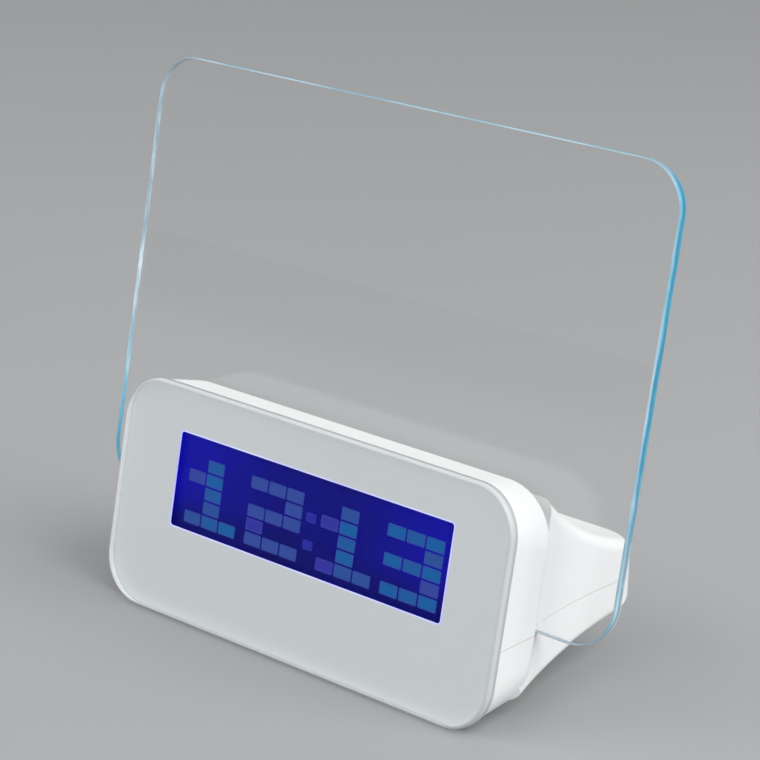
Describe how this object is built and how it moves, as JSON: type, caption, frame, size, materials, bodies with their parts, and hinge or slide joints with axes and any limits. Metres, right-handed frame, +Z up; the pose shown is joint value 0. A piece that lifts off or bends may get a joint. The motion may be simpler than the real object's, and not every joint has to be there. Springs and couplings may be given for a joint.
{
  "type": "message board clock",
  "caption": "Desk clock with a sloped digital display face, keys on a hollow rear deck, and a clear edge-lit writing board standing upright in a slot behind the face.",
  "frame": {"origin": "on the standing plane, under the middle of the whole clock's bounding box", "axes": "+X to the right for a viewer of the display, +Y to the rear, +Z up"},
  "size_m": [0.1694, 0.0728, 0.1381],
  "materials": {
    "white_abs": "moulded semi-gloss",
    "key_abs": "moulded semi-gloss",
    "clear_acrylic": "clear polished",
    "mask_print": "printed",
    "display_glass": "backlit blue",
    "light_guide": "diffusing",
    "holder_abs": "moulded",
    "contact_rubber": "matt",
    "green_board": "lacquered",
    "white_board": "lacquered",
    "lamp": "clear lens",
    "black_resin": "moulded",
    "can_metal": "plated",
    "can_sleeve": "sleeved",
    "switch_metal": "plated",
    "knob_black": "moulded",
    "cell_sleeve": "sleeved",
    "contact_nickel": "plated",
    "screw_steel": "plated",
    "pad_rubber": "matt",
    "cable_grey": "matt"
  },
  "bodies": {
    "housing": {"upper_housing": "white_abs", "base_housing": "white_abs", "front_panel": "clear_acrylic", "panel_mask": "mask_print", "board_led_strip": "white_board", "board_leds": "lamp", "lcd_glass": "display_glass", "lcd_backlight": "light_guide", "lcd_holder": "holder_abs", "zebra_strips": "contact_rubber", "main_pcb": "green_board", "main_chip": "black_resin", "clock_crystal": "can_metal", "capacitors": "can_sleeve", "key_pcb": "green_board", "key_switches": "black_resin", "power_pcb": "green_board", "power_inlet": "can_metal", "inlet_tongue": "black_resin", "light_switch_body": "switch_metal", "battery_cells": "cell_sleeve", "battery_plates": "contact_nickel", "battery_springs": "contact_nickel", "pcb_screws": "screw_steel", "case_screws": "screw_steel", "rubber_feet": "pad_rubber", "buzzer": "black_resin", "ribbon_cable": "cable_grey"},
    "board": {"message_board": "clear_acrylic"},
    "mode_key": {"mode_key": "key_abs", "mode_plunger": "black_resin"},
    "set_key": {"set_key": "key_abs", "set_plunger": "black_resin"},
    "up_key": {"up_key": "key_abs", "up_plunger": "black_resin"},
    "down_key": {"down_key": "key_abs", "down_plunger": "black_resin"},
    "light_switch": {"light_switch_knob": "knob_black"},
    "door": {"battery_door": "white_abs"}
  },
  "joints": [
    {"name": "board_lift", "type": "slide", "parent": "housing", "child": "board", "axis": [0, 0.1822, 0.9833], "range_m": [0, 0.045]},
    {"name": "mode_press", "type": "slide", "parent": "housing", "child": "mode_key", "axis": [0, 0, -1], "range_m": [0, 0.0008], "stiffness_N_per_m": 1000, "springref_m": -0.0004},
    {"name": "set_press", "type": "slide", "parent": "housing", "child": "set_key", "axis": [0, 0, -1], "range_m": [0, 0.0008], "stiffness_N_per_m": 1000, "springref_m": -0.0004},
    {"name": "up_press", "type": "slide", "parent": "housing", "child": "up_key", "axis": [0, 0, -1], "range_m": [0, 0.0008], "stiffness_N_per_m": 1000, "springref_m": -0.0004},
    {"name": "down_press", "type": "slide", "parent": "housing", "child": "down_key", "axis": [0, 0, -1], "range_m": [0, 0.0008], "stiffness_N_per_m": 1000, "springref_m": -0.0004},
    {"name": "light_switch_slide", "type": "slide", "parent": "housing", "child": "light_switch", "axis": [-1, 0, 0], "range_m": [0, 0.003]},
    {"name": "door_slide", "type": "slide", "parent": "housing", "child": "door", "axis": [0, 1, 0], "range_m": [0, 0.049]}
  ]
}
